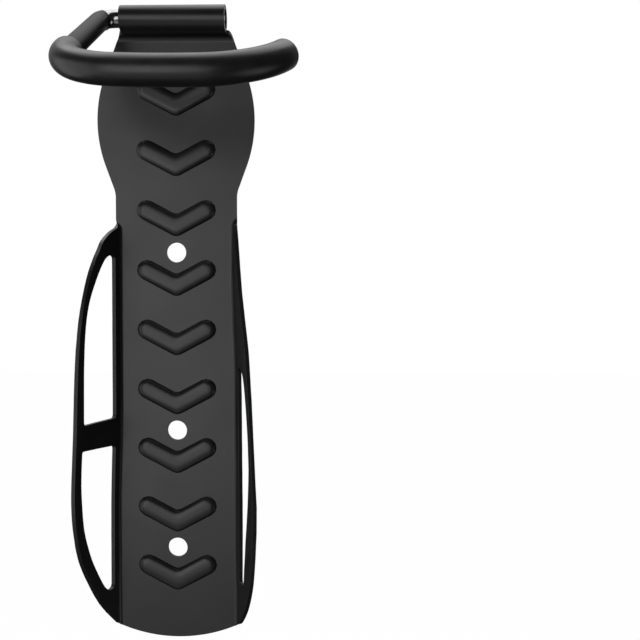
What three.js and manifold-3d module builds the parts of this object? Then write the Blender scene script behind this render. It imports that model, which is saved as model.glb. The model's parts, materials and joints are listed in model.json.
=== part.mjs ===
// A vertical bike wall rack. A pressed steel tray is screwed to the wall, and a round
// rod hook turns in a knuckle rolled from the top of the tray. The front wheel hangs
// on the hook, and its tyre rests on the chevrons between the two side guards.
//
// Millimetres, +Z up. The wall is the plane y = 0, the front of the rack looks along
// -Y, and x = 0 is the centre line. The origin is on the back of the tray, in the
// flat band between the fourth and the fifth chevron from the top.

import * as THREE from 'three';
import { mergeVertices } from 'three/addons/utils/BufferGeometryUtils.js';
import Module from 'manifold-3d';

const wasm = await Module();
wasm.setup();

const { degToRad, lerp, smoothstep } = THREE.MathUtils;

// Driving dimensions

const sheet = 2; // steel sheet of the tray, guards and knuckle

const neckWidth = 61;
const headWidth = 78.9;
const headSideRadius = 66;
const headFlankAngle = degToRad(20.3); // the straight flanks above and below the head
const neckFillet = 14;
const neckLength = 13; // straight neck between the guards and the fillet
const upperFlankHeight = 15.6; // straight flank between the head and the bend

const trayBottom = -169; // lowest point of the tray's rounded bottom edge
const bottomRadius = 75.5;

const holeDiameter = 9.9;
const holeDrop = 7.6; // from the tip of the chevron above to the hole's centre
const holeRows = [3, 6, 8]; // the chevrons, counted from the top, that have a hole below

const chevron = {
	pitch: 30,
	rows: 9,
	rowsOverOrigin: 4,
	tipHeight: 4.7, // from the origin up to the tip of the lowest of those rows
	armAngle: degToRad(28),
	armReach: 14.9, // centre line of an arm, measured sideways from the tip
	band: 10, // width of the pressed band at its foot
	raise: 2.4,
	crestShare: 0.1, // flat crest, as a share of half the band
	fullness: 2.5, // power of the rounded side, where 2 is an ellipse
	tipRound: 2.6,
	notchRound: 2.2
};

const foldRadius = 2; // inside radius where the guards are folded up
const guardTop = 41.5;

// A guard's outlines are tables of [share of the guard's height from its top, share of
// its reach]. A window's inner rim lies along the fold, between its two foot shares. The
// flare is the lean of the sheet outwards from square, and the sheet bows outwards over
// it where bowShares let it in and out again. The tray widens by the step on its way down.
// Between the foldShares, at the guard's top, the flat sheet turns into the full fold,
// and the wall stands on it as soon as the fold is all but square.
const leftGuard = {
	side: -1,
	reach: 42.9,
	foldShares: [ -0.008, 0.012 ],
	edgeShares: [ [ 0, 0 ], [ 0.01, 0.045 ], [ 0.0217, 0.2 ], [ 0.043, 0.38 ],
		[ 0.0635, 0.468 ], [ 0.092, 0.585 ], [ 0.134, 0.715 ], [ 0.208, 0.857 ],
		[ 0.296, 0.942 ], [ 0.413, 0.983 ], [ 0.6, 1 ], [ 0.677, 0.978 ],
		[ 0.736, 0.911 ], [ 0.795, 0.797 ], [ 0.853, 0.632 ], [ 0.93, 0.36 ], [ 1, 0 ] ],
	footShare: 0.109, // where the windows begin, next to the fold
	windows: [
		{
			footShares: [ 0.08, 0.478 ],
			rimShares: [ [ 0.077, 0.22 ], [ 0.086, 0.34 ], [ 0.109, 0.46 ], [ 0.142, 0.583 ],
				[ 0.175, 0.686 ], [ 0.207, 0.75 ], [ 0.25, 0.793 ], [ 0.32, 0.815 ],
				[ 0.4, 0.818 ], [ 0.478, 0.813 ] ]
		},
		{
			footShares: [ 0.5455, 0.9 ],
			rimShares: [ [ 0.538, 0.842 ], [ 0.58, 0.847 ], [ 0.631, 0.835 ], [ 0.7, 0.78 ],
				[ 0.735, 0.739 ], [ 0.772, 0.666 ], [ 0.811, 0.569 ], [ 0.853, 0.442 ],
				[ 0.89, 0.31 ], [ 0.905, 0.2 ] ]
		}
	],
	flare: degToRad(15.5), // the plane that the outlines are drawn and punched in
	flareShares: [ [ 0, 0.9 ], [ 0.3, 0.952 ], [ 0.45, 0.995 ], [ 0.6, 1.032 ], [ 0.72, 1.06 ],
		[ 0.85, 1.215 ], [ 1, 1.355 ] ], // the flare down the guard, over the value above
	bow: 0.9,
	bowShares: [ 0.15, 0.35, 0.75, 0.95 ],
	step: 1.3,
	stepShares: [ 0.45, 0.72 ]
};

const rightGuard = {
	side: 1,
	reach: 24.7,
	foldShares: [ -0.022, 0.01 ],
	edgeShares: [ [ -0.022, 0 ], [ 0, 0.025 ], [ 0.032, 0.138 ], [ 0.12, 0.368 ], [ 0.237, 0.66 ],
		[ 0.33, 0.835 ], [ 0.413, 0.931 ], [ 0.53, 0.988 ], [ 0.6, 1 ], [ 0.707, 0.968 ],
		[ 0.824, 0.862 ], [ 0.883, 0.761 ], [ 0.941, 0.528 ], [ 0.985, 0.2 ], [ 1, 0 ] ],
	footShare: 0.16,
	windows: [
		{
			footShares: [ 0.36, 0.889 ],
			rimShares: [ [ 0.35, 0.32 ], [ 0.362, 0.46 ], [ 0.383, 0.557 ], [ 0.416, 0.626 ],
				[ 0.482, 0.714 ], [ 0.53, 0.745 ], [ 0.6, 0.735 ], [ 0.65, 0.655 ],
				[ 0.7, 0.585 ], [ 0.76, 0.508 ], [ 0.83, 0.458 ], [ 0.889, 0.42 ] ]
		}
	],
	flare: degToRad(23),
	flareShares: [ [ 0, 0.804 ], [ 0.24, 0.8 ], [ 0.35, 0.795 ], [ 0.42, 0.86 ],
		[ 0.6, 1.015 ], [ 0.7, 1.145 ], [ 0.85, 1.11 ], [ 1, 1.157 ] ],
	bow: 0.9,
	bowShares: [ 0.15, 0.35, 0.75, 0.95 ],
	step: 1.5,
	stepShares: [ 0.12, 0.42 ]
};

const wallStart = 0.8; // share of the fold that is made before the wall begins
const windowCorner = 2;

const bendRadius = 3; // inside radius of the forward bend under the knuckle
const shoulderRun = 1.2; // rounded step from the flange to the knuckle's ends
const knuckleLength = 51.4;
const knuckleShift = 0.6; // to the right, clear of the hook's first bend
const knuckleForward = 9.6; // hinge axis in front of the tray's front face
const seamGap = 0.3; // between the rolled end of the sheet and the flange it meets

const rodDiameter = 8.7;
const rodPlay = 0.15; // radial running clearance in the knuckle
const endChamfer = 0.5;
const endRecess = 0.4; // the rod stops this far inside the knuckle's right end
const grooveDepth = 0.7;
const grooveWidth = 5;
const grooveInset = 11; // middle of the groove from the knuckle's right end
const stakeDiameter = 3.4; // the knuckle is staked into the groove
const stakePlay = 0.2;

const hookDroop = degToRad(24.7); // the hook's plane below level at rest
const kneeStart = 1.7; // straight rod outside the knuckle before its first bend
const kneeRadius = 7.5;
const bareTurn = degToRad(52); // part of that bend which has no coating
const armLength = 62;
const sleeveSetback = 2.5; // the thick sleeve starts this far before the corner
const cornerRadius = 30.8;
const cornerTurn = degToRad(82);
const bowRadius = 180;
const bowTurn = degToRad(11);
const tipRadius = 37;
const tipTurn = degToRad(64);
const tipLength = 2.5;

const coatBore = 9;
const coatWall = 0.35;
const sleeveDiameter = 13.6;
const sleeveEndRound = 1.9; // rounding of the sleeve's open end
const sleeveEndWall = 2.4; // rubber in front of the rod's end
const buttGap = 0.3; // between the thin tube and the thick sleeve

const overrun = 6; // how far a cutting tool reaches past what it cuts
const embed = 0.4; // how far a raised form reaches into the sheet
const weldTolerance = 1e-5; // points of a mesh nearer than this are one point

// Sizes worked out from them

const neckHalf = neckWidth / 2;
const headHalf = headWidth / 2;
const rodRadius = rodDiameter / 2;
const knuckleBore = rodRadius + rodPlay;
const knuckleRadius = knuckleBore + sheet;
const knuckleLeft = knuckleShift - knuckleLength / 2;
const knuckleRight = knuckleShift + knuckleLength / 2;

// The guards end where the rounded bottom edge meets their folds.
const guardBottom = trayBottom + bottomRadius - Math.sqrt(bottomRadius ** 2 - neckHalf ** 2);
const guardHeight = guardTop - guardBottom;
const channelStart = Math.min(leftGuard.foldShares[0], rightGuard.foldShares[0]);

// The neck, the head, the bend and the knuckle stand on each other over the guards.
const flankTangentX = headHalf - headSideRadius * (1 - Math.cos(headFlankAngle));
const flankTangentRise = headSideRadius * Math.sin(headFlankAngle);
const filletRun = neckFillet * (1 - Math.cos(headFlankAngle));
const lowerFlankHeight = (flankTangentX - neckHalf - filletRun) / Math.tan(headFlankAngle);
const filletFoot = guardTop + neckLength;
const headHeight = filletFoot + neckFillet * Math.sin(headFlankAngle) + lowerFlankHeight
	+ flankTangentRise;
const bendHeight = headHeight + flankTangentRise + upperFlankHeight;
const hingeHeight = bendHeight + bendRadius + knuckleRadius;

const chevronHalfBand = chevron.band / 2;
const chevronTipDrop = chevronHalfBand / Math.cos(chevron.armAngle);

// Height of the lower tip of a chevron, with the rows counted from the top.
function chevronTip(row) {

	return (chevron.rowsOverOrigin - row) * chevron.pitch + chevron.tipHeight;

}

// Meshes, lofts and booleans

// A closed mesh from rings of equal length, joined one after the other. The ends are
// closed flat, or the last ring is joined to the first where loop is true. A ring of
// equal points makes a pole.
function loft(rings, loop = false) {

	const size = rings[0].length;
	const positions = rings.flat().flatMap((p) => [ p.x, p.y, p.z ]);
	const index = [];
	const bands = loop ? rings.length : rings.length - 1;
	for (let band = 0; band < bands; band++) {

		const a = band * size;
		const b = ((band + 1) % rings.length) * size;
		for (let i = 0; i < size; i++) {

			const j = (i + 1) % size;
			index.push(a + i, a + j, b + j);
			index.push(a + i, b + j, b + i);

		}

	}

	if (!loop) {

		const last = (rings.length - 1) * size;
		for (const [ a, b, c ] of capTriangles(rings[0])) index.push(c, b, a);
		for (const [ a, b, c ] of capTriangles(rings.at(-1))) index.push(last + a, last + b, last + c);

	}

	const geometry = new THREE.BufferGeometry();
	geometry.setAttribute('position', new THREE.Float32BufferAttribute(positions, 3));
	geometry.setIndex(index);
	return geometry;

}

// Triangles that close a flat ring, turned the way the ring runs.
function capTriangles(ring) {

	const normal = new THREE.Vector3();
	for (let i = 0; i < ring.length; i++) {

		normal.add(new THREE.Vector3().crossVectors(ring[i], ring[(i + 1) % ring.length]));

	}

	const u = new THREE.Vector3();
	const v = new THREE.Vector3();
	normal.normalize();
	u.set(normal.y, normal.z, normal.x).cross(normal).normalize();
	v.crossVectors(normal, u);
	const flat = ring.map((p) => new THREE.Vector2(p.dot(u), p.dot(v)));
	return THREE.ShapeUtils.triangulateShape(flat, []);

}

// A solid from a closed mesh, with its faces turned outwards.
function toSolid(geometry) {

	const plain = geometry.clone();
	plain.deleteAttribute('normal');
	plain.deleteAttribute('uv');
	const merged = mergeVertices(plain, weldTolerance);
	const point = (i) => new THREE.Vector3().fromBufferAttribute(merged.attributes.position, i);
	const triangles = [];
	const index = merged.index.array;
	let volume = 0;
	for (let i = 0; i < index.length; i += 3) {

		const [ a, b, c ] = index.slice(i, i + 3);
		if (a === b || b === c || c === a) continue;
		triangles.push(a, b, c);
		volume += point(a).dot(point(b).cross(point(c)));

	}

	if (volume < 0) triangles.reverse();

	return new wasm.Manifold(new wasm.Mesh({
		numProp: 3,
		vertProperties: new Float32Array(merged.attributes.position.array),
		triVerts: new Uint32Array(triangles)
	}));

}

function toGeometry(solid) {

	const mesh = solid.getMesh();
	const geometry = new THREE.BufferGeometry();
	const positions = new Float32Array(mesh.vertProperties);
	geometry.setAttribute('position', new THREE.BufferAttribute(positions, 3));
	geometry.setIndex(new THREE.BufferAttribute(new Uint32Array(mesh.triVerts), 1));
	geometry.computeVertexNormals();
	return geometry;

}

// A shape drawn in x and z, made solid from y = back forwards by depth.
function frontPrism(shape, back, depth, curveSegments) {

	const geometry = new THREE.ExtrudeGeometry(shape, { depth, bevelEnabled: false, curveSegments });
	geometry.rotateX(Math.PI / 2);
	geometry.translate(0, back, 0);
	return toSolid(geometry);

}

// A closed shape through corner points, each rounded off over its own radius, or over
// half of the shorter side next to it.
function roundedShape(corners) {

	const shape = new THREE.Shape();
	corners.forEach(({ point, radius }, i) => {

		const before = corners.at(i - 1).point;
		const after = corners[(i + 1) % corners.length].point;
		const draw = i === 0 ? 'moveTo' : 'lineTo';
		if (radius === 0) {

			shape[draw](point.x, point.y);
			return;

		}

		const reach = Math.min(radius, point.distanceTo(before) / 2, point.distanceTo(after) / 2);
		const start = point.clone().add(before.clone().sub(point).setLength(reach));
		const end = point.clone().add(after.clone().sub(point).setLength(reach));
		shape[draw](start.x, start.y);
		shape.quadraticCurveTo(point.x, point.y, end.x, end.y);

	});
	shape.closePath();
	return shape;

}

// The value of a table of [share, value] at a share, between its rows.
function fromTable(table, share) {

	const next = Math.max(1, table.findIndex(([ s ], i) => s >= share || i === table.length - 1));
	const [ s0, v0 ] = table[next - 1];
	const [ s1, v1 ] = table[next];
	return lerp(v0, v1, (share - s0) / (s1 - s0));

}

// Tray: head and neck

// Front outline of the flat sheet over the guards: a straight neck, a fillet into the
// lower flank, the round side of the head, and the upper flank up to the bend.
function headShape() {

	const sideCentre = headHalf - headSideRadius;
	const neckFoot = guardHeightAt(channelStart) - embed;
	const topHalf = flankHalfWidth(bendHeight);
	const shape = new THREE.Shape();
	shape.moveTo(-neckHalf, neckFoot);
	shape.lineTo(neckHalf, neckFoot);
	shape.absarc(neckHalf + neckFillet, filletFoot, neckFillet, Math.PI, Math.PI - headFlankAngle, true);
	shape.absarc(sideCentre, headHeight, headSideRadius, -headFlankAngle, headFlankAngle, false);
	shape.lineTo(topHalf, bendHeight);
	shape.lineTo(-topHalf, bendHeight);
	shape.absarc(-sideCentre, headHeight, headSideRadius,
		Math.PI - headFlankAngle, Math.PI + headFlankAngle, false);
	shape.absarc(-neckHalf - neckFillet, filletFoot, neckFillet, headFlankAngle, 0, true);
	shape.closePath();
	return shape;

}

// Half the width between the straight upper flanks at a height.
function flankHalfWidth(height) {

	const rise = height - headHeight - flankTangentRise;
	return flankTangentX - rise * Math.tan(headFlankAngle);

}

// Tray: the tongue that bends forward and rolls into the knuckle

// The tongue is the sheet carried along its own side view. Its sides go on along the
// flanks, measured along the bent sheet, and step in to the knuckle's ends.
function tongue() {

	const profile = [];
	const lap = 2 * sheet;
	const bendSteps = 8;
	const shoulderSteps = 4;
	const rollSteps = 40;
	const under = bendHeight + bendRadius;
	const rollEnd = Math.PI - Math.asin((sheet + seamGap) / knuckleRadius - 1);
	profile.push({
		front: [ 0, bendHeight - lap ], back: [ -sheet, bendHeight - lap ], along: -lap, inward: 0
	});
	for (let i = 0; i <= bendSteps; i++) {

		const angle = (Math.PI / 2) * (i / bendSteps);
		profile.push({
			front: onCircle(bendRadius, bendHeight, bendRadius, Math.PI - angle),
			back: onCircle(bendRadius, bendHeight, bendRadius + sheet, Math.PI - angle),
			along: (bendRadius + sheet / 2) * angle,
			inward: 0
		});

	}

	const along = profile.at(-1).along;
	for (let i = 1; i <= shoulderSteps; i++) {

		const [ out, forward ] = onCircle(0, 0, 1, (Math.PI / 2) * (i / shoulderSteps));
		const place = bendRadius + shoulderRun * forward;
		profile.push({ front: [ place, under ], back: [ place, under + sheet ], along, inward: 1 - out });

	}

	for (let i = 0; i <= rollSteps; i++) {

		const angle = lerp(-Math.PI / 2, rollEnd, i / rollSteps);
		profile.push({
			front: onCircle(knuckleForward, hingeHeight, knuckleRadius, angle),
			back: onCircle(knuckleForward, hingeHeight, knuckleBore, angle),
			along,
			inward: 1
		});

	}

	return toSolid(loft(profile.map((station) => {

		const flank = flankHalfWidth(bendHeight) - station.along * Math.tan(headFlankAngle);
		const right = lerp(flank, knuckleRight, station.inward);
		const left = lerp(-flank, knuckleLeft, station.inward);
		const { front, back } = station;
		return [ [ right, front ], [ left, front ], [ left, back ], [ right, back ] ]
			.map(([ x, [ forward, z ] ]) => new THREE.Vector3(x, -sheet - forward, z));

	})));

}

function onCircle(x, y, radius, angle) {

	return [ x + radius * Math.cos(angle), y + radius * Math.sin(angle) ];

}

// Tray: the channel with its folded guards

function guardHeightAt(share) {

	return guardTop - share * guardHeight;

}

// Outline of one half of the channel at a share of the guard's height, from the middle
// of the front face out to the guard's free end, and the same along the back.
function channelHalf(guard, share) {

	const flare = guard.flare * fromTable(guard.flareShares, share);
	const widening = guard.step * smoothstep(share, ...guard.stepShares);
	const innerFoot = neckHalf + widening - sheet / Math.cos(flare);
	const fullFoldX = innerFoot + foldRadius * Math.tan(flare) - foldRadius / Math.cos(flare);
	const [ foldFrom, foldTo ] = guard.foldShares;
	const folded = smoothstep(share, foldFrom, foldTo);
	const grown = smoothstep(share, lerp(foldFrom, foldTo, wallStart), 2 * foldTo - foldFrom);
	const bend = (Math.PI / 2 - flare) * folded;
	const foldX = lerp(neckHalf, fullFoldX, Math.sin(bend) / Math.cos(flare));
	const wall = guard.reach * grown;
	const [ bowFrom, bowIn, bowOut, bowTo ] = guard.bowShares;
	const bow = guard.bow * smoothstep(share, bowFrom, bowIn) * (1 - smoothstep(share, bowOut, bowTo));
	const foldSteps = 6;
	const wallSteps = 5;
	const front = [];
	const back = [];
	for (let i = 0; i <= foldSteps; i++) {

		const angle = bend * (i / foldSteps) - Math.PI / 2;
		front.push(onCircle(foldX, foldRadius, foldRadius, angle));
		back.push(onCircle(foldX, foldRadius, foldRadius + sheet, angle));

	}

	for (const side of [ front, back ]) {

		const [ x, forward ] = side.at(-1);
		for (let i = 1; i <= wallSteps; i++) {

			const out = i / (wallSteps - 1);
			const lift = bow * (27 / 4) * out ** 2 * (1 - out);
			side.push([ x + wall * out * Math.cos(bend) + lift, forward + wall * out * Math.sin(bend) ]);

		}

	}

	const place = ([ x, forward ]) => new THREE.Vector3(
		guard.side * x, -sheet - forward, guardHeightAt(share));
	return { front: front.map(place), back: back.map(place) };

}

function channel() {

	const topSteps = 8;
	const steps = 16;
	const topEnd = -2 * channelStart;
	const bottomShare = 1 + (guardBottom - trayBottom + overrun) / guardHeight;
	const rings = [];
	for (let i = -topSteps; i <= steps; i++) {

		const share = i < 0
			? lerp(topEnd, channelStart, -i / topSteps)
			: lerp(topEnd, bottomShare, i / steps);
		const left = channelHalf(leftGuard, share);
		const right = channelHalf(rightGuard, share);
		rings.push([
			...left.front.reverse(), ...right.front, ...right.back.reverse(), ...left.back
		]);

	}

	return toSolid(loft(rings));

}

// A point of a guard's outline: how far out along the sheet, and the height.
function guardPoint(guard, [ along, out ]) {

	return new THREE.Vector2(out * guard.reach, guardHeightAt(along));

}

function guardCurve(guard, table, steps) {

	return new THREE.SplineCurve(table.map((row) => guardPoint(guard, row))).getPoints(steps);

}

// A tool punched square through a guard. Its shape is drawn in the guard's own plane,
// from the fold line outwards and in height.
function guardPunch(guard, shape) {

	const thickness = guard.reach / 2;
	const geometry = new THREE.ExtrudeGeometry(shape, {
		depth: thickness, bevelEnabled: false, curveSegments: 4
	});
	geometry.translate(0, 0, -thickness / 2);
	const out = new THREE.Vector3(guard.side * Math.sin(guard.flare), -Math.cos(guard.flare), 0);
	const up = new THREE.Vector3(0, 0, 1);
	const through = new THREE.Vector3().crossVectors(out, up);
	const basis = new THREE.Matrix4().makeBasis(out, up, through);
	basis.setPosition(guard.side * neckHalf, -sheet, 0);
	geometry.applyMatrix4(basis);
	return toSolid(geometry);

}

// What is trimmed off outside a guard's free edge.
function guardWaste(guard) {

	const edge = guardCurve(guard, guard.edgeShares, 48);
	const far = guard.reach + 2 * overrun;
	const points = [
		new THREE.Vector2(0, guardTop + overrun),
		...edge,
		new THREE.Vector2(0, trayBottom - 2 * overrun),
		new THREE.Vector2(far, trayBottom - 2 * overrun),
		new THREE.Vector2(far, guardTop + overrun)
	];
	return guardPunch(guard, new THREE.Shape(points));

}

// A window: its outer rim is a curve, and its inner rim runs straight along the fold.
function guardWindow(guard, { footShares, rimShares }) {

	const curve = guardCurve(guard, rimShares, 26);
	const foot = guard.footShare * guard.reach;
	const ends = [ curve[0], curve.at(-1) ];
	const besideEnd = (point) => ends.some(
		(end) => end !== point && end.distanceTo(point) < windowCorner);
	const [ footTop, footBottom ] = footShares.map((share) => ({
		point: new THREE.Vector2(foot, guardHeightAt(share)), radius: windowCorner
	}));
	const rim = curve.filter((point) => !besideEnd(point)).map((point) => ({
		point, radius: ends.includes(point) ? windowCorner : 0
	}));
	return guardPunch(guard, roundedShape([ ...rim, footBottom, footTop ]));

}

// What is trimmed off under the rounded bottom edge of the tray.
function bottomWaste() {

	const centre = trayBottom + bottomRadius;
	const half = neckHalf + sheet + overrun;
	const reach = Math.asin(half / bottomRadius);
	const low = trayBottom - 2 * overrun;
	const depth = leftGuard.reach + 2 * overrun;
	const shape = new THREE.Shape();
	shape.moveTo(-half, low);
	shape.lineTo(half, low);
	shape.absarc(0, centre, bottomRadius, reach - Math.PI / 2, -reach - Math.PI / 2, true);
	shape.closePath();
	return frontPrism(shape, overrun, depth, 28);

}

// Tray: pressed chevrons and screw holes

// Outline at a distance all round the centre line of a chevron: round ends, a rounded
// tip below and a rounded notch above.
function chevronRing(distance) {

	const { armAngle, armReach, tipRound, notchRound } = chevron;
	const endSteps = 6;
	const cornerSteps = 3;
	const rise = armReach * Math.tan(armAngle);
	const miter = distance / Math.cos(armAngle);
	const ring = [];
	for (const side of [ 1, -1 ]) {

		const middle = side > 0 ? armAngle : Math.PI - armAngle;
		for (let i = 0; i <= endSteps; i++) {

			const angle = middle + Math.PI * (i / endSteps - 0.5);
			const [ x, z ] = onCircle(side * armReach, rise, distance, angle);
			ring.push(new THREE.Vector2(x, z));

		}

		// the notch follows the right end, the tip follows the left one
		const round = side > 0 ? notchRound : tipRound;
		const corner = new THREE.Vector2(0, side * miter);
		const step = new THREE.Vector2(side * Math.cos(armAngle), Math.sin(armAngle));
		const from = corner.clone().addScaledVector(step, round);
		const to = new THREE.Vector2(-from.x, from.y);
		ring.push(...new THREE.QuadraticBezierCurve(from, corner, to).getPoints(cornerSteps));

	}

	return ring;

}

// A pressed form: the chevron outline drawn in from its foot to its crest. Each slope
// row is the share of that way and the share of the full height.
function chevronForm(row, { foot, crest, base, root, slope }) {

	const middle = chevronTip(row) + chevronTipDrop;
	const ringAt = (distance, y) => chevronRing(distance)
		.map((p) => new THREE.Vector3(p.x, y, p.y + middle));
	const rings = slope.map(([ inward, height ]) => (
		ringAt(lerp(foot, crest, inward), base - chevron.raise * height)));
	return toSolid(loft([ ringAt(foot, base + root), ...rings ]));

}

function slopeRows(steps, rowAt) {

	return Array.from({ length: steps + 1 }, (_, i) => rowAt(i / steps));

}

// The raised side on the front of the sheet, a pillow: it stands up square from the
// sheet and rounds over like a quarter of a superellipse.
function chevronBoss(row) {

	return chevronForm(row, {
		foot: chevronHalfBand,
		crest: chevronHalfBand * chevron.crestShare,
		base: -sheet,
		root: embed,
		slope: slopeRows(5, (share) => {

			const [ x, y ] = onCircle(0, 0, 1, (Math.PI / 2) * share);
			return [ 1 - x ** (2 / chevron.fullness), y ** (2 / chevron.fullness) ];

		})
	});

}

// The hollow side on the back, drawn in by the setback of a fold of about 45 degrees and
// sloped like half a cosine wave, so that the sheet is nowhere thinner than it started.
function chevronHollow(row) {

	const setback = sheet * Math.tan(Math.PI / 8);
	const foot = chevronHalfBand - setback;
	return chevronForm(row, {
		foot,
		crest: Math.max(chevronHalfBand * chevron.crestShare - setback, foot * chevron.crestShare / 2),
		base: 0,
		root: overrun,
		slope: slopeRows(3, (share) => [ share, (1 - Math.cos(Math.PI * share)) / 2 ])
	});

}

function screwHole(row) {

	const depth = sheet + 2 * overrun;
	const geometry = new THREE.CylinderGeometry(holeDiameter / 2, holeDiameter / 2, depth, 32);
	geometry.translate(0, 0, chevronTip(row) - holeDrop);
	return toSolid(geometry);

}

// Tray: the stake that holds the rod endways

// A round dome pressed radially into the knuckle from behind. It stands on a disc of the
// given depth, so that it joins the wall.
function stakeDome(tipRadius, depth) {

	const radius = stakeDiameter / 2;
	const steps = 4;
	const profile = [ new THREE.Vector2(0, 0), new THREE.Vector2(radius, 0) ];
	for (let i = 0; i <= steps; i++) {

		const [ x, y ] = onCircle(0, 0, 1, (Math.PI / 2) * (i / steps));
		profile.push(new THREE.Vector2(radius * x, depth + (grooveDepth - stakePlay) * y));

	}

	profile.at(-1).x = 0;
	const geometry = new THREE.LatheGeometry(profile, 16);
	const height = depth + grooveDepth - stakePlay;
	geometry.rotateX(Math.PI);
	geometry.translate(0, tipRadius + height, 0);
	const x = knuckleRight - grooveInset;
	geometry.translate(x, -sheet - knuckleForward, hingeHeight);
	return toSolid(geometry);

}

function backPlate() {

	const tipInside = rodRadius - grooveDepth + stakePlay + rodPlay;
	const rows = Array.from({ length: chevron.rows }, (_, i) => i + 1);
	const sheetMetal = wasm.Manifold.union([
		frontPrism(headShape(), 0, sheet, 12), channel(), tongue(), ...rows.map(chevronBoss)
	]);
	const punches = wasm.Manifold.union([
		bottomWaste(), ...rows.map(chevronHollow), ...holeRows.map(screwHole),
		...[ leftGuard, rightGuard ].flatMap((guard) => [
			guardWaste(guard),
			...guard.windows.map((opening) => guardWindow(guard, opening))
		])
	]);
	const dent = stakeDome(tipInside + sheet, overrun);
	const bump = stakeDome(tipInside, sheet / 2);
	return toGeometry(sheetMetal.subtract(punches).subtract(dent).add(bump));

}

// Hook: the rod and what covers it

// The rod's centre line, drawn flat: straight runs and bends, one after the other, from
// the knuckle's right end. Each run starts with a named mark. The bends all turn the
// same way, from the knuckle's -x round to the front and back towards the wall.
const rodLine = [
	{ mark: 'journal', run: knuckleLength - endRecess + kneeStart },
	{ mark: 'knee', radius: kneeRadius, turn: bareTurn, steps: 7 },
	{ mark: 'coat', radius: kneeRadius, turn: Math.PI / 2 - bareTurn, steps: 3 },
	{ mark: 'arm', run: armLength - sleeveSetback },
	{ mark: 'sleeve', run: sleeveSetback },
	{ mark: 'corner', radius: cornerRadius, turn: cornerTurn, steps: 13 },
	{ mark: 'bow', radius: bowRadius, turn: bowTurn, steps: 3 },
	{ mark: 'tip', radius: tipRadius, turn: tipTurn, steps: 11 },
	{ mark: 'end', run: tipLength }
];

// Stations along the centre line: place, heading and the mark of the run they start.
function rodStations() {

	let heading = Math.PI;
	const place = new THREE.Vector2(knuckleRight - endRecess, 0);
	const stations = [];
	for (const { mark, run, radius, turn, steps = 1 } of rodLine) {

		for (let i = 0; i < steps; i++) {

			stations.push({ mark, place: place.clone(), heading });
			const stepTurn = turn ? turn / steps : 0;
			const stride = turn ? 2 * radius * Math.sin(stepTurn / 2) : run;
			const direction = heading - stepTurn / 2;
			place.x += stride * Math.cos(direction);
			place.y += stride * Math.sin(direction);
			heading -= stepTurn;

		}

	}

	stations.push({ mark: 'tail', place: place.clone(), heading });
	return stations;

}

const centreLine = rodStations();
const roundSides = 20;

// A round section square to the centre line. The rod's flat plane is x and -y here, and
// ahead moves the section on along the rod.
function rodRing({ place, heading }, radius, ahead = 0) {

	const x = place.x + ahead * Math.cos(heading);
	const forward = place.y + ahead * Math.sin(heading);
	return Array.from({ length: roundSides }, (_, i) => {

		const angle = (2 * Math.PI * i) / roundSides;
		const side = radius * Math.cos(angle);
		return new THREE.Vector3(
			x - side * Math.sin(heading),
			-(forward + side * Math.cos(heading)),
			radius * Math.sin(angle)
		);

	});

}

function stationIndex(mark) {

	return centreLine.findIndex((station) => station.mark === mark);

}

// The bar from the knuckle's right end to inside the tip, with a chamfer at each end
// and the groove for the stake.
function hookRod() {

	const first = centreLine[0];
	const last = centreLine.at(-1);
	const groove = grooveInset - endRecess;
	const rings = [
		rodRing(first, rodRadius - endChamfer),
		rodRing(first, rodRadius, endChamfer),
		rodRing(first, rodRadius, groove - grooveWidth / 2),
		rodRing(first, rodRadius - grooveDepth, groove - grooveWidth / 2 + grooveDepth),
		rodRing(first, rodRadius - grooveDepth, groove + grooveWidth / 2 - grooveDepth),
		rodRing(first, rodRadius, groove + grooveWidth / 2),
		...centreLine.slice(1, -1).map((station) => rodRing(station, rodRadius)),
		rodRing(last, rodRadius, -endChamfer),
		rodRing(last, rodRadius - endChamfer)
	];
	return toGeometry(toSolid(loft(rings)));

}

// A thin black tube shrunk on to the arm, open at both ends.
function armCoat() {

	const covered = centreLine.slice(stationIndex('coat'), stationIndex('sleeve') + 1);
	const bore = coatBore / 2;
	const ahead = (i) => (i === covered.length - 1 ? -buttGap : 0);
	const outside = covered.map((station, i) => rodRing(station, bore + coatWall, ahead(i)));
	const inside = covered.map((station, i) => rodRing(station, bore, ahead(i)));
	return toGeometry(toSolid(loft([ ...outside, ...inside.reverse() ], true)));

}

// The thick rubber sleeve, a blind tube with a rounded mouth and a domed end.
function hookSleeve() {

	const covered = centreLine.slice(stationIndex('sleeve'));
	const last = covered.at(-1);
	const bore = coatBore / 2;
	const outer = sleeveDiameter / 2;
	const gap = bore - rodRadius;
	const domeSteps = 6;
	const mouthSteps = 3;
	const inside = covered.map((station, i) => rodRing(station, bore, i === covered.length - 1 ? gap : 0));
	const mouth = [];
	for (let i = 0; i < mouthSteps; i++) {

		const [ x, y ] = onCircle(0, 0, sleeveEndRound, (Math.PI / 2) * (i / mouthSteps));
		mouth.push(rodRing(covered[0], outer - sleeveEndRound + y, sleeveEndRound - x));

	}

	const outside = [ rodRing(covered[0], outer, sleeveEndRound), ...covered.slice(1)
		.map((station) => rodRing(station, outer)) ];
	const dome = [];
	const domeLength = gap + sleeveEndWall;
	for (let i = 1; i <= domeSteps; i++) {

		const [ x, y ] = onCircle(0, 0, 1, (Math.PI / 2) * (i / domeSteps));
		dome.push(rodRing(last, i === domeSteps ? 0 : outer * x, domeLength * y));

	}

	return toGeometry(toSolid(loft([
		rodRing(last, 0, gap), ...inside.reverse(), ...mouth, ...outside, ...dome
	])));

}

// Materials

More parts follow.
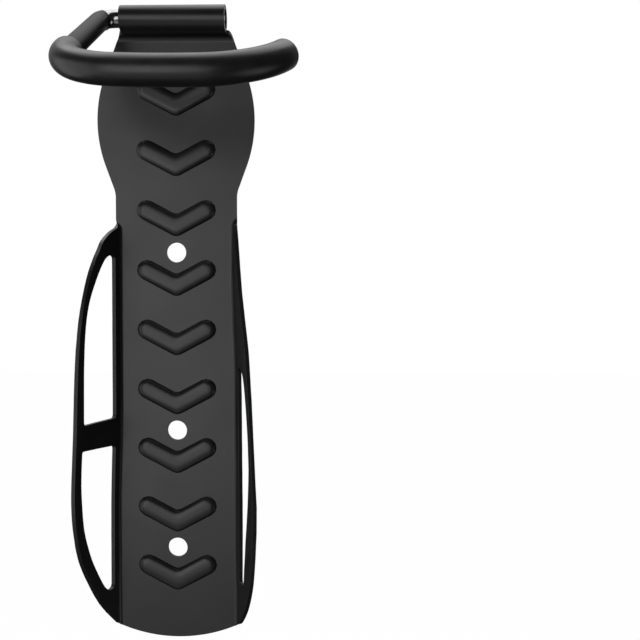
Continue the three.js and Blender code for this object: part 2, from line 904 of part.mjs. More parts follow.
const blackCoat = new THREE.MeshStandardMaterial({ color: 0x2b2b2c, roughness: 0.5, metalness: 0.2 });
const brightPlating = new THREE.MeshStandardMaterial({ color: 0xd0d2d4, roughness: 0.15, metalness: 1 });
const blackTube = new THREE.MeshStandardMaterial({ color: 0x3a3a3b, roughness: 0.55, metalness: 0 });
const blackRubber = new THREE.MeshStandardMaterial({ color: 0x242425, roughness: 0.6, metalness: 0 });

// Assembly

function addMesh(parent, name, geometry, material) {

	const mesh = new THREE.Mesh(geometry, material);
	mesh.name = name;
	parent.add(mesh);

}

const rack = new THREE.Group();
addMesh(rack, 'back_plate', backPlate(), blackCoat);

const hook = new THREE.Group();
hook.position.set(0, -sheet - knuckleForward, hingeHeight);
hook.rotation.x = hookDroop;
addMesh(hook, 'hook_rod', hookRod(), brightPlating);
addMesh(hook, 'arm_coating', armCoat(), blackTube);
addMesh(hook, 'hook_sleeve', hookSleeve(), blackRubber);
rack.add(hook);
rack.updateMatrixWorld(true);

export default rack;
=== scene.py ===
"""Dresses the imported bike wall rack: a pressed black tray, and a sleeved hook in its knuckle.

Lengths are metres in the row's frame: +Z up, the wall is the plane y = 0, and the rack's
front looks along -Y. Sizes of pieces are written in millimetres, and MM makes them metres.
"""

from __future__ import annotations

import json
import logging
import math
from dataclasses import dataclass
from enum import Enum
from typing import Any, Optional, Sequence

import bmesh
import bpy
import numpy as np
from mathutils import Matrix, Vector

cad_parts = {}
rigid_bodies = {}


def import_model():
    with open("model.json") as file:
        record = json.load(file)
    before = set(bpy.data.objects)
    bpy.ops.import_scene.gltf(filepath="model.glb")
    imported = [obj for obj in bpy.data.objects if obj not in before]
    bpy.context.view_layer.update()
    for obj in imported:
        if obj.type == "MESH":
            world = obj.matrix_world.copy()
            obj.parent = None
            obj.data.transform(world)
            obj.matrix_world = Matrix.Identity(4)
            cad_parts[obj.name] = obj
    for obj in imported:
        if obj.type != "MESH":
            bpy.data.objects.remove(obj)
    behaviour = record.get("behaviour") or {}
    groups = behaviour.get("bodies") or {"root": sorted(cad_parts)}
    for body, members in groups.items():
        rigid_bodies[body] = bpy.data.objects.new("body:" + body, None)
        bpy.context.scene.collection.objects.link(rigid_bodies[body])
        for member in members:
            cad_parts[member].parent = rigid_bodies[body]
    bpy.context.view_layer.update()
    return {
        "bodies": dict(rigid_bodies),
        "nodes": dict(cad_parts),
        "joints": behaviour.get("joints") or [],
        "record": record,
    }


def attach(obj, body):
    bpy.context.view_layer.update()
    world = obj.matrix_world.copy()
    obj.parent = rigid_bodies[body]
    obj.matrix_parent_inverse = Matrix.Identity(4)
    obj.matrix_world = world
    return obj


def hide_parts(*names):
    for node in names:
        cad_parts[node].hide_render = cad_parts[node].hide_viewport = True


LOG = logging.getLogger("bike_rack")
MM = 0.001
IMAGE_SIDE = 640

# Numbers of a place or a direction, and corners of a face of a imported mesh
AXES = 3
TRIANGLE = 3

# The sRGB curve: its straight foot, and the power that it follows over it
FULL_CHANNEL = 255
SRGB_KNEE = 0.04045
SRGB_SLOPE = 12.92
SRGB_OFFSET = 0.055
SRGB_POWER = 2.4

# Pure white, and the strength at which a glow of it shows as white
WHITE = "#ffffff"
WHITE_LEVEL = 1.0

# Noise keeps near its middle, so colours and gloss are spread over these bands of it
COLOUR_BAND = (0.35, 0.65)
GLOSS_BAND = (0.3, 0.7)
MOTTLE_DETAIL = 3.0
GRAIN_DETAIL = 2.0
EDGE_SAMPLES = 6

Colour = tuple[float, float, float, float]
Place = tuple[float, float, float]


class Body(Enum):
    """The rigid bodies of the rack."""

    TRAY = "tray"
    HOOK = "hook"


class Slot(Enum):
    """The record's material slots."""

    COAT = "black_coat"
    PLATING = "bright_plating"
    TUBE = "black_tube"
    RUBBER = "black_rubber"


# Colour and node helpers


def linear(hex_colour: str) -> Colour:
    """Turns an sRGB hex colour to linear light.

    A channel c up to the knee is c / slope. Over it, it is (c + offset) / (1 + offset),
    raised to the power.

    Args:
        hex_colour: the colour as six hex digits after a hash sign.

    Returns:
        Red, green and blue, and an alpha of 1.
    """
    channels = [int(hex_colour[start : start + 2], 16) for start in (1, 3, 5)]
    srgb = np.array(channels) / FULL_CHANNEL
    low = srgb / SRGB_SLOPE
    high = ((srgb + SRGB_OFFSET) / (1 + SRGB_OFFSET)) ** SRGB_POWER
    red, green, blue = np.where(srgb <= SRGB_KNEE, low, high)
    return float(red), float(green), float(blue), 1.0


def add_node(
    tree: bpy.types.NodeTree,
    kind: str,
    settings: Optional[dict[str, Any]] = None,
    inputs: Optional[dict[Any, Any]] = None,
) -> bpy.types.Node:
    """Adds one node, with its properties set and its sockets filled or linked.

    Args:
        tree: the node tree that gets the node.
        kind: Blender's type name of the node.
        settings: property names with their values.
        inputs: socket names or numbers, each with a value or with an output to link.

    Returns:
        The new node.
    """
    node = tree.nodes.new(kind)
    for name, value in (settings or {}).items():
        setattr(node, name, value)
    for socket, value in (inputs or {}).items():
        if isinstance(value, bpy.types.NodeSocket):
            tree.links.new(value, node.inputs[socket])
        else:
            node.inputs[socket].default_value = value
    return node


# Finishes


@dataclass(frozen=True)
class Finish:
    """A surface with a mottled colour, an uneven gloss and a fine relief.

    Attributes:
        name: the material's name.
        dark: the darker colour of the mottling, as sRGB hex.
        light: the lighter colour of the mottling, as sRGB hex.
        mottle_mm: size of the mottling.
        metallic: 1 for bare metal and 0 for a coat or a polymer.
        roughness: the lowest and the highest roughness of the uneven gloss.
        specular: specular level of the shader, 0.5 for an index of 1.5.
        grain_mm: size of one grain of the relief.
        grain_depth_mm: height of the relief.
        edge_mm: radius that the light sees on sharp edges, 0 for none.
    """

    name: str
    dark: str
    light: str
    mottle_mm: float
    metallic: float
    roughness: tuple[float, float]
    specular: float
    grain_mm: float
    grain_depth_mm: float
    edge_mm: float = 0.0

    def build(self) -> bpy.types.Material:
        """Makes the material, with every pattern in Object coordinates.

        One noise mottles the colour and the gloss together, a finer one is the height of
        the relief, and sharp edges are rounded for the light where the finish says so.

        Returns:
            The material.
        """
        material = bpy.data.materials.new(self.name)
        material.use_nodes = True
        tree = material.node_tree
        tree.nodes.clear()
        place = add_node(tree, "ShaderNodeTexCoord").outputs["Object"]
        mottle, grain = (
            add_node(
                tree,
                "ShaderNodeTexNoise",
                inputs={"Vector": place, "Scale": 1 / (size_mm * MM), "Detail": detail},
            ).outputs["Fac"]
            for size_mm, detail in (
                (self.mottle_mm, MOTTLE_DETAIL),
                (self.grain_mm, GRAIN_DETAIL),
            )
        )
        colour = add_node(tree, "ShaderNodeValToRGB", inputs={"Fac": mottle})
        stops = zip(colour.color_ramp.elements, COLOUR_BAND, (self.dark, self.light))
        for stop, position, shade in stops:
            stop.position = position
            stop.color = linear(shade)
        gloss = add_node(
            tree,
            "ShaderNodeMapRange",
            inputs={
                "Value": mottle,
                "From Min": GLOSS_BAND[0],
                "From Max": GLOSS_BAND[1],
                "To Min": self.roughness[0],
                "To Max": self.roughness[1],
            },
        )
        relief: dict[Any, Any] = {
            "Height": grain,
            "Distance": self.grain_depth_mm * MM,
            "Strength": 1.0,
        }
        if self.edge_mm > 0:
            rounded = add_node(
                tree,
                "ShaderNodeBevel",
                {"samples": EDGE_SAMPLES},
                {"Radius": self.edge_mm * MM},
            )
            relief["Normal"] = rounded.outputs["Normal"]
        normal = add_node(tree, "ShaderNodeBump", inputs=relief)
        shader = add_node(
            tree,
            "ShaderNodeBsdfPrincipled",
            inputs={
                "Base Color": colour.outputs["Color"],
                "Metallic": self.metallic,
                "Roughness": gloss.outputs["Result"],
                "Specular IOR Level": self.specular,
                "Normal": normal.outputs["Normal"],
            },
        )
        add_node(tree, "ShaderNodeOutputMaterial", inputs={"Surface": shader.outputs["BSDF"]})
        return material


# Satin black epoxy powder coat on pressed steel. It melts and flows into a low orange
# peel, so broad faces read as soft dark grey and the light breaks up slightly on them.
POWDER_COAT = Finish(
    name="satin_black_powder_coat",
    dark="#151516",
    light="#19191a",
    mottle_mm=22.0,
    metallic=0.0,
    roughness=(0.3, 0.36),
    specular=0.5,
    grain_mm=0.9,
    grain_depth_mm=0.006,
    edge_mm=0.3,
)

# Bright zinc plating on drawn bar. It is smooth and mirrors the room, with faint clouds
# from the plating bath. The marks of drawing are too fine to show, so they are drawn
# coarser than they are, and very low.
BRIGHT_ZINC = Finish(
    name="bright_zinc_plating",
    dark="#98999c",
    light="#a4a5a8",
    mottle_mm=6.0,
    metallic=1.0,
    roughness=(0.10, 0.18),
    specular=0.5,
    grain_mm=1.2,
    grain_depth_mm=0.002,
)

# Thin extruded vinyl tube, shrunk on. Its skin is dull and takes little light, so its
# grey is soft and its lower side goes dark. The real grain is too fine to show, so it is
# drawn coarser.
SHRUNK_VINYL = Finish(
    name="shrunk_black_vinyl",
    dark="#151516",
    light="#19191a",
    mottle_mm=9.0,
    metallic=0.0,
    roughness=(0.34, 0.4),
    specular=0.1,
    grain_mm=0.7,
    grain_depth_mm=0.005,
)

# Moulded nitrile rubber sleeve. The mould is polished, so the light runs along it in
# soft bands, and a fine bloom makes the grey a little uneven. The real grain is too fine
# to show, so it is drawn coarser.
MOULDED_RUBBER = Finish(
    name="moulded_black_rubber",
    dark="#151516",
    light="#19191a",
    mottle_mm=12.0,
    metallic=0.0,
    roughness=(0.32, 0.4),
    specular=0.5,
    grain_mm=0.8,
    grain_depth_mm=0.004,
)


# Mesh helpers


def ring_faces(rings: int, sides: int, closed: bool) -> np.ndarray:
    """Numbers the corners of every cell between rings of points.

    Cell (i, j) has the corners (i + 1, j), (i + 1, j + 1), (i, j + 1) and (i, j). The
    number of a side wraps to zero past the last one, and so does the number of a ring
    where the last ring is joined to the first.

    Args:
        rings: how many rings there are.
        sides: points in each ring.
        closed: joins the last ring to the first.

    Returns:
        An array of one row of four point numbers for each cell.
    """
    i = np.arange(rings if closed else rings - 1)[:, None]
    j = np.arange(sides)[None, :]
    here = i * sides
    ahead = ((i + 1) % rings) * sides
    beside = (j + 1) % sides
    cells = np.stack(
        np.broadcast_arrays(ahead + j, ahead + beside, here + beside, here + j), axis=-1
    )
    return cells.reshape(-1, cells.shape[-1])


def mesh_object(name: str, points: np.ndarray, faces: Sequence[Sequence[int]]) -> bpy.types.Object:
    """Makes a smooth-shaded object at the origin, with its place in its mesh.

    Args:
        name: the piece's name.
        points: an array of one row of three coordinates for each point, in metres.
        faces: the point numbers of each face, turned outwards.

    Returns:
        The object, linked to the scene.
    """
    mesh = bpy.data.meshes.new(name)
    mesh.from_pydata(points.tolist(), [], faces)
    mesh.validate()
    mesh.shade_smooth()
    piece = bpy.data.objects.new(name, mesh)
    bpy.context.scene.collection.objects.link(piece)
    return piece


def read_rows(items: bpy.types.bpy_prop_collection, name: str, columns: int) -> np.ndarray:
    """Reads one property of every item of a mesh, as one row of numbers an item.

    Args:
        items: a mesh's polygons or loops.
        name: the property.
        columns: how many numbers it has.

    Returns:
        An array of one row an item.
    """
    values = np.empty(len(items) * columns, dtype=np.single)
    items.foreach_get(name, values)
    return values.reshape(len(items), columns).astype(float)


def dress(piece: bpy.types.Object, body: Body, material: bpy.types.Material) -> None:
    """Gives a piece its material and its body.

    Args:
        piece: the finished piece.
        body: the body that it rides on.
        material: its material.
    """
    piece.data.materials.clear()
    piece.data.materials.append(material)
    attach(piece, body.value)


# The hook


@dataclass(frozen=True)
class Run:
    """A stretch of the hook's centre line: straight where it has no turn.

    Attributes:
        length_mm: length of a straight stretch.
        radius_mm: bend radius of a curved stretch.
        turn_deg: how far a curved stretch turns.
    """

    length_mm: float = 0.0
    radius_mm: float = 0.0
    turn_deg: float = 0.0

    @property
    def span_mm(self) -> float:
        """Length along the centre line."""
        return self.length_mm + self.radius_mm * math.radians(self.turn_deg)


@dataclass
class Hook:
    """The bent bar in the knuckle, its thin tube and its thick sleeve.

    The centre line lies in one plane through the hinge. In that plane u runs along the
    hinge to the right, and v runs out of it, forwards and down by the droop. The line
    starts in the knuckle and runs to the left, round the knee, out along the arm, round
    the corner, along the bar and round the tip.

    Attributes:
        hinge_mm: the point of the hinge at which u and v are 0.
        droop_deg: how far the arm hangs under level.
        start_mm: u at which the line starts.
        knuckle_mm: length of the knuckle.
        end_recess_mm: how deep the rod's end lies in the knuckle's right end.
        bend_clear_mm: straight rod between the knuckle and the knee.
        knee: the bend from the knuckle to the arm.
        arm: the straight arm.
        corner: the bend from the arm to the bar.
        bar: the bar, which is slightly bowed.
        tip_bend: the bend from the bar to the tip.
        tip: the straight end.
        rod_mm: diameter of the rod.
        end_chamfer_mm: chamfer of the rod's ends.
        end_ring: share of the radius at which the rod's end face has a ring of points.
        groove_mm: how far along the line the groove's middle is, its width and depth.
        bare_turn_deg: how far round the knee the rod is bare.
        coat_bore_mm: bore of the tube and of the sleeve.
        coat_wall_mm: wall of the tube.
        lip_share: share of its wall by which the tube's free end is chamfered.
        butt_gap_mm: gap between the tube and the sleeve.
        sleeve_mm: diameter of the sleeve.
        sleeve_setback_mm: how far before the arm's end the sleeve starts.
        mouth_round_mm: rounding of the sleeve's mouth.
        end_wall_mm: thickness of the sleeve's blind end.
        sides: points round each circle.
        step_mm: distance between circles.
        mouth_steps: circles in the rounding of the mouth.
        dome_steps: circles in the domed end, with the one at its foot.
    """

    hinge_mm: Place = (0.0, -11.6, 141.015)
    droop_deg: float = 24.7
    start_mm: float = 25.9
    knuckle_mm: float = 51.4
    end_recess_mm: float = 0.4
    bend_clear_mm: float = 1.7
    knee: Run = Run(radius_mm=7.5, turn_deg=90.0)
    arm: Run = Run(length_mm=62.0)
    corner: Run = Run(radius_mm=30.8, turn_deg=82.0)
    bar: Run = Run(radius_mm=180.0, turn_deg=11.0)
    tip_bend: Run = Run(radius_mm=37.0, turn_deg=64.0)
    tip: Run = Run(length_mm=2.5)
    rod_mm: float = 8.7
    end_chamfer_mm: float = 0.5
    end_ring: float = 0.6
    groove_mm: tuple[float, float, float] = (10.6, 5.0, 0.7)
    bare_turn_deg: float = 52.0
    coat_bore_mm: float = 9.0
    coat_wall_mm: float = 0.35
    lip_share: float = 1 / 3
    butt_gap_mm: float = 0.3
    sleeve_mm: float = 13.6
    sleeve_setback_mm: float = 2.5
    mouth_round_mm: float = 1.9
    end_wall_mm: float = 2.4
    sides: int = 64
    step_mm: float = 0.8
    mouth_steps: int = 9
    dome_steps: int = 15

    @property
    def seat(self) -> Run:
        """The straight stretch in the knuckle, up to the knee."""
        return Run(length_mm=self.knuckle_mm - self.end_recess_mm + self.bend_clear_mm)

    @property
    def runs(self) -> tuple[Run, ...]:
        """All stretches of the centre line in their order."""
        return (self.seat, self.knee, self.arm, self.corner, self.bar, self.tip_bend, self.tip)

    @property
    def length_mm(self) -> float:
        """Length of the whole centre line."""
        return sum(run.span_mm for run in self.runs)

    @property
    def coat_start_mm(self) -> float:
        """Distance along the line at which the thin tube starts."""
        return self.seat.span_mm + self.knee.radius_mm * math.radians(self.bare_turn_deg)

    @property
    def sleeve_start_mm(self) -> float:
        """Distance along the line at which the thick sleeve starts."""
        arm_end = self.seat.span_mm + self.knee.span_mm + self.arm.span_mm
        return arm_end - self.sleeve_setback_mm

    def centre_line(self, along: np.ndarray) -> tuple[np.ndarray, np.ndarray]:
        """Works out place and heading at distances along the line.

        On a straight stretch the place moves by t along the heading h. On a bend of
        radius r the heading falls by t / r, and the chord is the difference of
        r * (sin h, -cos h) between its ends. Outside its ends the line goes on straight.

        Args:
            along: distances from the start, in millimetres.

        Returns:
            An array of (u, v) places in millimetres, and an array of headings.
        """
        u = np.full(along.shape, self.start_mm)
        v = np.zeros(along.shape)
        heading = np.full(along.shape, math.pi)
        begin = 0.0
        for number, run in enumerate(self.runs):
            first = -np.inf if number == 0 else 0.0
            last = np.inf if number == len(self.runs) - 1 else run.span_mm
            t = np.clip(along - begin, first, last)
            if run.turn_deg:
                after = heading - t / run.radius_mm
                u = u + run.radius_mm * (np.sin(heading) - np.sin(after))
                v = v - run.radius_mm * (np.cos(heading) - np.cos(after))
                heading = after
            else:
                u = u + t * np.cos(heading)
                v = v + t * np.sin(heading)
            begin += run.span_mm
        return np.stack([u, v], axis=-1), heading

    def tube(self, along: np.ndarray, radius: np.ndarray) -> np.ndarray:
        """Carries a circle of changing radius along the centre line.

        At distance s and angle a the point is the place on the line, plus r * cos a
        square to it in the hook's plane, plus r * sin a out of that plane. Then the
        plane is tilted down by the droop about the hinge.

        Args:
            along: distance of each circle, in millimetres.
            radius: radius of each circle, in millimetres.

        Returns:
            An array of circles by sides by three coordinates, in metres.
        """
        place, heading = self.centre_line(along)
        angle = np.linspace(0.0, 2 * math.pi, self.sides, endpoint=False)
        side = radius[:, None] * np.cos(angle)
        out = radius[:, None] * np.sin(angle)
        u = place[:, 0, None] - side * np.sin(heading)[:, None]
        v = place[:, 1, None] + side * np.cos(heading)[:, None]
        droop = math.radians(self.droop_deg)
        x = self.hinge_mm[0] + u
        y = self.hinge_mm[1] - v * math.cos(droop) - out * math.sin(droop)
        z = self.hinge_mm[2] - v * math.sin(droop) + out * math.cos(droop)
        return np.stack([x, y, z], axis=-1) * MM

    def steps(self, first: float, last: float) -> np.ndarray:
        """Returns even distances from first to last, about one step apart."""
        return np.linspace(first, last, max(2, round((last - first) / self.step_mm) + 1))

    def closed_piece(self, name: str, along: np.ndarray, radius: np.ndarray) -> bpy.types.Object:
        """Makes a closed piece from circles, the first and last of which are one point.

        Args:
            name: the piece's name.
            along: distance of each circle.
            radius: radius of each circle, which is 0 at both ends.

        Returns:
            The object.
        """
        circles = self.tube(along, radius)
        inner = circles[1:-1]
        count = inner.shape[0]
        points = np.concatenate([inner.reshape(-1, AXES), circles[:1, 0], circles[-1:, 0]])
        ring = np.arange(self.sides)
        after = (ring + 1) % self.sides
        tail = (count - 1) * self.sides
        first_pole = np.full(self.sides, count * self.sides)
        last_pole = first_pole + 1
        faces = ring_faces(count, self.sides, False).tolist()
        faces += np.column_stack([first_pole, after, ring]).tolist()
        faces += np.column_stack([last_pole, tail + ring, tail + after]).tolist()
        return mesh_object(name, points, faces)

    def rod(self) -> bpy.types.Object:
        """Makes the bar: chamfered ends and the groove that the knuckle's stake holds.

        The profile is one pair of distance and radius for each circle. A circle at a
        sharp edge stands twice, so that the shading breaks there.

        Returns:
            The rod.
        """
        r = self.rod_mm / 2
        chamfer = self.end_chamfer_mm
        middle, width, depth = self.groove_mm
        first, last = middle - width / 2, middle + width / 2
        end = self.length_mm
        edges, levels = np.transpose([
            (0, 0), (0, self.end_ring * r), (0, r - chamfer), (chamfer, r), (chamfer, r),
            (first, r), (first, r), (first + depth, r - depth), (last - depth, r - depth),
            (last, r), (last, r),
        ])
        body = self.steps(last + self.step_mm, end - chamfer)
        along = np.concatenate([edges, body, [end, end]])
        radius = np.concatenate([levels, np.full(body.shape, r), [r - chamfer, 0]])
        return self.closed_piece("plated_rod", along, radius)

    def thin_tube(self) -> bpy.types.Object:
        """Makes the thin tube as one closed wall: out along its outside, back inside.

        Returns:
            The tube.
        """
        bore = self.coat_bore_mm / 2
        wall = self.coat_wall_mm
        lip = wall * self.lip_share
        body = self.steps(self.coat_start_mm, self.sleeve_start_mm - self.butt_gap_mm)
        along = np.concatenate([body[:1], body[:1] + lip, body[1:], body[::-1]])
        outer = np.full(body.size + 1, bore + wall)
        outer[0] -= lip
        radius = np.concatenate([outer, np.full(body.shape, bore)])
        circles = self.tube(along, radius)
        faces = ring_faces(circles.shape[0], self.sides, True)
        return mesh_object("arm_tube", circles.reshape(-1, AXES), faces.tolist())

    def thick_sleeve(self) -> bpy.types.Object:
        """Makes the blind sleeve, with a rounded mouth and a domed end.

        The mouth is a quarter circle from the bore's side to the outside. The dome is a
        quarter ellipse: radius r * cos a at distance d * sin a past the line's end.

        Returns:
            The sleeve.
        """
        bore = self.coat_bore_mm / 2
        outer = self.sleeve_mm / 2
        start, end = self.sleeve_start_mm, self.length_mm
        gap = bore - self.rod_mm / 2
        inside = self.steps(start, end + gap)[::-1]
        quarter = np.linspace(0.0, math.pi / 2, self.mouth_steps)
        rounding = self.mouth_round_mm
        mouth_along = start + rounding * (1 - np.cos(quarter))
        mouth_radius = outer - rounding * (1 - np.sin(quarter))
        body = self.steps(start + rounding + self.step_mm, end)
        dome = np.linspace(0.0, math.pi / 2, self.dome_steps)[1:]
        dome_along = end + (gap + self.end_wall_mm) * np.sin(dome)
        dome_radius = outer * np.cos(dome)
        along = np.concatenate([[end + gap], inside, mouth_along, body, dome_along])
        radius = np.concatenate([
            [0], np.full(inside.shape, bore), mouth_radius, np.full(body.shape, outer), dome_radius
        ])
        return self.closed_piece("rubber_sleeve", along, radius)

    def build(self) -> None:
        """Makes and dresses the three pieces of the hook."""
        pieces = (
            (self.rod(), "hook_rod", Slot.PLATING, BRIGHT_ZINC),
            (self.thin_tube(), "arm_coating", Slot.TUBE, SHRUNK_VINYL),
            (self.thick_sleeve(), "hook_sleeve", Slot.RUBBER, MOULDED_RUBBER),
        )
        for piece, node, slot, finish in pieces:
            dress(piece, Body.HOOK, finish.build())
            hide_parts(node)
            LOG.info("%s: %d points", piece.name, len(piece.data.vertices))


# The tray


@dataclass
class Tray:
    """The pressed tray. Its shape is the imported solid's, with evenly shaded faces.

    Attributes:
        weld_mm: points nearer than this are one point.
        crease_deg: edges sharper than this stay sharp in the shading.
        same_turn: normals that differ less than this lie in one plane.
        same_mm: planes nearer to each other than this are one plane.
    """

    weld_mm: float = 0.004
    crease_deg: float = 32.0
    same_turn: float = 0.004
    same_mm: float = 0.03

    def pressing(self, node: bpy.types.Object) -> bpy.types.Object:
        """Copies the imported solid, welds it and gives it even shading.

        Args:
            node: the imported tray.

        Returns:
            The new piece.
        """
        mesh = node.data.copy()
        mesh.name = "tray_pressing"
        piece = bpy.data.objects.new("tray_pressing", mesh)
        bpy.context.scene.collection.objects.link(piece)
        work = bmesh.new()
        work.from_mesh(mesh)
        bmesh.ops.remove_doubles(work, verts=work.verts, dist=self.weld_mm * MM)
        work.to_mesh(mesh)
        work.free()
        mesh.shade_smooth()
        mesh.normals_split_custom_set(self.corner_normals(mesh).tolist())
        return piece

    def corner_normals(self, mesh: bpy.types.Mesh) -> np.ndarray:
        """Works out the shading normal at each corner of each triangle.

        It is the sum of the normals of all the triangles round the corner's point that
        are turned from the corner's own by less than the crease, each weighted by the
        area of the whole plane that it lies in. So a broad flat face stays flat up to
        its edge, and the narrow faces of a bend run into one another.

        Args:
            mesh: the welded triangles.

        Returns:
            One unit vector a corner.
        """
        points = read_rows(mesh.loops, "vertex_index", 1).ravel().astype(int)
        normals = read_rows(mesh.polygons, "normal", AXES)
        areas = read_rows(mesh.polygons, "area", 1).ravel()
        middles = read_rows(mesh.polygons, "center", AXES)

        # Triangles of one plane, by their rounded normal and distance from the origin
        offsets = (normals * middles).sum(axis=1) / (self.same_mm * MM)
        keys = np.column_stack([normals / self.same_turn, offsets]).round().astype(int)
        plane = np.unique(keys, axis=0, return_inverse=True)[1].ravel()
        weights = np.bincount(plane, weights=areas)[plane]

        # Every pair of a corner, here, and a corner at the same point, there
        order = np.argsort(points, kind="stable")
        valence = np.bincount(points)
        first = np.cumsum(valence) - valence
        near = valence[points]
        pair_start = np.cumsum(near) - near
        here = np.repeat(np.arange(len(points)), near)
        nth = np.arange(near.sum()) - np.repeat(pair_start, near)
        there = order[np.repeat(first[points], near) + nth]

        own, other = normals[here // TRIANGLE], normals[there // TRIANGLE]
        smooth = (own * other).sum(axis=1) > math.cos(math.radians(self.crease_deg))
        share = other * (weights[there // TRIANGLE] * smooth)[:, None]
        total = np.add.reduceat(share, pair_start, axis=0)
        length = np.linalg.norm(total, axis=1, keepdims=True)
        return total / np.maximum(length, np.finfo(float).tiny)

    def build(self, frame: dict[str, Any]) -> None:
        """Makes and dresses the tray.
        """
        piece = self.pressing(frame["nodes"]["back_plate"])
        dress(piece, Body.TRAY, POWDER_COAT.build())
        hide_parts("back_plate")
        LOG.info("%s: %d points", piece.name, len(piece.data.vertices))


# The studio


@dataclass(frozen=True)
class Lamp:
    """A rectangular soft light.

    Attributes:
        name: the lamp's name.
        place: where it stands, in metres.
        aim: the point that it looks at, in metres.
        size: its width and height, in metres.
        watts: its power.
    """

    name: str
    place: Place
    aim: Place
    size: tuple[float, float]
    watts: float

    def build(self) -> None:
        """Makes the lamp and turns it to its aim."""
        data = bpy.data.lights.new(self.name, "AREA")
        data.shape = "RECTANGLE"
        data.size, data.size_y = self.size
        data.energy = self.watts
        lamp = bpy.data.objects.new(self.name, data)
        lamp.location = self.place
        toward = Vector(self.aim) - Vector(self.place)
        lamp.rotation_euler = toward.to_track_quat("-Z", "Y").to_euler()
        bpy.context.scene.collection.objects.link(lamp)


@dataclass(frozen=True)
class Glow:
    """A pale part of the room, as shiny surfaces mirror it.

    Attributes:
        aim: the direction of its middle.
        first: the component of a ray along the aim at which it starts.
        full: the component at which it has its full strength.
        strength: its full strength, where 1 is white.
    """

    aim: Place
    first: float
    full: float
    strength: float


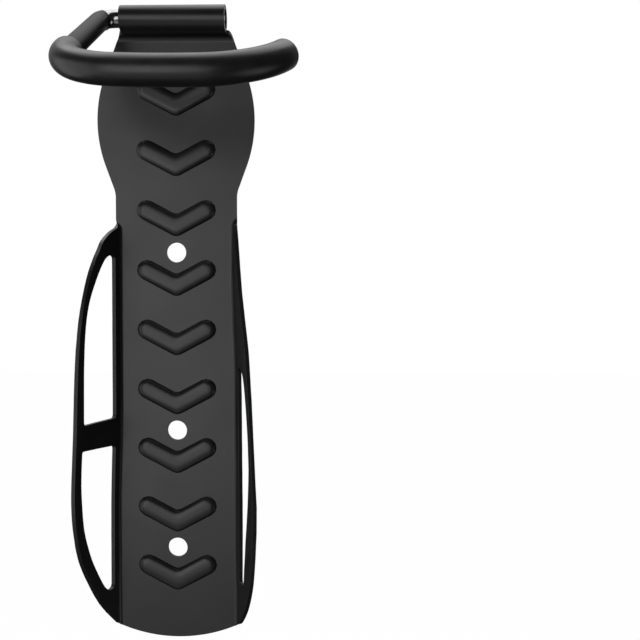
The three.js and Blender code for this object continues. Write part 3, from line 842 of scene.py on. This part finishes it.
@dataclass
class Studio:
    """The camera, the lamps, the white surround and the floor.

    The camera was fitted to the photograph, and the lamps to the light that its
    surfaces mirror.

    Attributes:
        focal_px: focal length of the camera, in pixels.
        place_mm: place of the camera.
        yaw: how far it is turned to the left, in radians.
        pitch: how far it is tipped down, in radians.
        roll: how far its right side is raised, in radians.
        half_pixel: shift from the corner of a pixel to its middle, in pixels.
        sensor_mm: width of its sensor.
        near_m: nearest distance that it sees.
        floor_m: height of the floor.
        floor_half_m: half of the floor's side.
        floor_paint: colour of the floor, as sRGB hex.
        floor_white: share of pure white in the floor, as the camera sees it. The rest
            is lit paint, which keeps the rack's shadow.
        backdrop: the white wall behind and over the rack.
        sweep: the pale sheet in front of the rack and under the camera.
        flags: strength of the dark rest of the room, as shiny surfaces mirror it.
        ambient: strength of the even light from all sides.
        lamps: the soft lights.
    """

    focal_px: float = 1044.86
    place_mm: Place = (90.56, -525.79, 18.1)
    yaw: float = 0.0343
    pitch: float = 0.0477
    roll: float = 0.0015
    half_pixel: float = 0.5
    sensor_mm: float = 36.0
    near_m: float = 0.01
    floor_m: float = -0.62
    floor_half_m: float = 6.0
    floor_paint: str = "#f4f4f4"
    floor_white: float = 0.985
    backdrop: Glow = Glow(aim=(0.0, 0.8, 0.6), first=0.5, full=0.85, strength=0.5)
    sweep: Glow = Glow(aim=(-0.2, -0.7, -0.68), first=0.8, full=0.97, strength=0.42)
    flags: float = 0.02
    ambient: float = 0.35
    lamps: tuple[Lamp, ...] = (
        # The main light: broad and soft, from the front and a little to the left
        Lamp("front_panel", (-0.52, -1.48, -0.01), (0.0, 0.0, 0.0), (0.9, 1.1), 6.2),
        # Lights the left guard, the knee and the sleeve's corner
        Lamp("left_panel", (-1.3, -0.2, -0.1), (0.0, 0.0, 0.05), (1.9, 1.6), 9.0),
        # Lights the sleeve's tip from below
        Lamp("right_panel", (1.15, -0.2, -0.7), (0.0, 0.0, 0.0), (1.0, 0.7), 1.9),
        # A narrow upright strip, for the highlight to the right on the bar
        Lamp("strip_panel", (0.16, -1.56, -0.16), (0.0, 0.0, 0.0), (0.2, 0.8), 1.1),
        # Lights the top of the knuckle and of the sleeve
        Lamp("top_panel", (0.0, 0.3, 1.2), (0.0, -0.05, 0.1), (1.6, 1.2), 11.0),
    )

    def camera(self) -> None:
        """Makes the camera.

        Forwards f is +Y turned by the yaw and tipped by the pitch, right r is level
        before the roll, and the camera looks along its own -Z, so its axes are r, u, -f.
        """
        yaw, pitch, roll = self.yaw, self.pitch, self.roll
        ahead = Vector((-math.sin(yaw), math.cos(yaw), 0))
        right = Vector((math.cos(yaw), math.sin(yaw), 0))
        up = Vector((0, 0, 1))
        forward = ahead * math.cos(pitch) - up * math.sin(pitch)
        top = up * math.cos(pitch) + ahead * math.sin(pitch)
        rolled_right = right * math.cos(roll) + top * math.sin(roll)
        rolled_top = top * math.cos(roll) - right * math.sin(roll)
        data = bpy.data.cameras.new("camera")
        data.sensor_width = self.sensor_mm
        data.lens = self.focal_px / IMAGE_SIDE * self.sensor_mm
        data.shift_x = -self.half_pixel / IMAGE_SIDE
        data.shift_y = self.half_pixel / IMAGE_SIDE
        data.clip_start = self.near_m
        camera = bpy.data.objects.new("camera", data)
        turn = Matrix((rolled_right, rolled_top, -forward)).transposed().to_4x4()
        camera.matrix_world = Matrix.Translation(Vector(self.place_mm) * MM) @ turn
        bpy.context.scene.collection.objects.link(camera)
        bpy.context.scene.camera = camera

    def surround(self) -> None:
        """Makes a world that looks white, and lights the object only a little.

        It is white for the camera and through glass. Glossy rays see the backdrop and
        the sweep, and a dark room between them, as in a studio with black flags. Each of
        the two rises from the dark in a smooth step of the ray's component along its
        aim, and the brighter one counts. All other rays get the even ambient light.
        """
        world = bpy.data.worlds.new("white_studio")
        bpy.context.scene.world = world
        world.use_nodes = True
        tree = world.node_tree
        tree.nodes.clear()
        rays = add_node(tree, "ShaderNodeLightPath").outputs
        direct = add_node(
            tree,
            "ShaderNodeMath",
            {"operation": "MAXIMUM"},
            {0: rays["Is Camera Ray"], 1: rays["Is Transmission Ray"]},
        ).outputs[0]
        ray = add_node(tree, "ShaderNodeTexCoord").outputs["Generated"]
        mirrored = []
        for glow in (self.backdrop, self.sweep):
            along = add_node(
                tree, "ShaderNodeVectorMath", {"operation": "DOT_PRODUCT"}, {0: ray, 1: glow.aim}
            ).outputs["Value"]
            step = add_node(
                tree,
                "ShaderNodeMapRange",
                {"interpolation_type": "SMOOTHSTEP"},
                {
                    "Value": along,
                    "From Min": glow.first,
                    "From Max": glow.full,
                    "To Min": self.flags,
                    "To Max": glow.strength,
                },
            )
            mirrored.append(step.outputs["Result"])
        brighter = add_node(
            tree, "ShaderNodeMath", {"operation": "MAXIMUM"}, {0: mirrored[0], 1: mirrored[1]}
        ).outputs[0]
        gloss, fill, white = (
            add_node(
                tree, "ShaderNodeBackground", inputs={"Color": linear(WHITE), "Strength": strength}
            ).outputs[0]
            for strength in (brighter, self.ambient, WHITE_LEVEL)
        )
        lit = add_node(
            tree, "ShaderNodeMixShader", inputs={0: rays["Is Glossy Ray"], 1: fill, 2: gloss}
        ).outputs[0]
        seen = add_node(tree, "ShaderNodeMixShader", inputs={0: direct, 1: lit, 2: white})
        add_node(tree, "ShaderNodeOutputWorld", inputs={"Surface": seen.outputs[0]})

    def floor(self) -> None:
        """Makes a pale floor under the rack that looks white and keeps a faint shadow."""
        half = self.floor_half_m
        square = np.array([[-half, -half], [half, -half], [half, half], [-half, half]])
        points = np.column_stack([square, np.full(len(square), self.floor_m)])
        floor = mesh_object("floor", points, [[0, 1, 2, 3]])
        material = bpy.data.materials.new("white_floor_paint")
        material.use_nodes = True
        tree = material.node_tree
        tree.nodes.clear()
        rays = add_node(tree, "ShaderNodeLightPath").outputs
        paint = add_node(
            tree, "ShaderNodeBsdfDiffuse", inputs={"Color": linear(self.floor_paint)}
        ).outputs[0]
        white = add_node(
            tree, "ShaderNodeEmission", inputs={"Color": linear(WHITE), "Strength": WHITE_LEVEL}
        ).outputs[0]
        share = add_node(
            tree,
            "ShaderNodeMath",
            {"operation": "MULTIPLY"},
            {0: rays["Is Camera Ray"], 1: self.floor_white},
        ).outputs[0]
        mixed = add_node(tree, "ShaderNodeMixShader", inputs={0: share, 1: paint, 2: white})
        add_node(tree, "ShaderNodeOutputMaterial", inputs={"Surface": mixed.outputs[0]})
        floor.data.materials.append(material)
        floor.visible_diffuse = False
        floor.visible_glossy = False

    def build(self) -> None:
        """Makes the whole studio."""
        bpy.context.scene.view_settings.view_transform = "Standard"
        self.camera()
        self.surround()
        self.floor()
        for lamp in self.lamps:
            lamp.build()


def main() -> None:
    """Loads the frame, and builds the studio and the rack."""
    logging.basicConfig(level=logging.INFO, format="%(name)s: %(message)s")
    for thing in list(bpy.data.objects):
        bpy.data.objects.remove(thing)
    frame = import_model()
    Studio().build()
    Tray().build(frame)
    Hook().build()


if __name__ == "__main__":
    main()
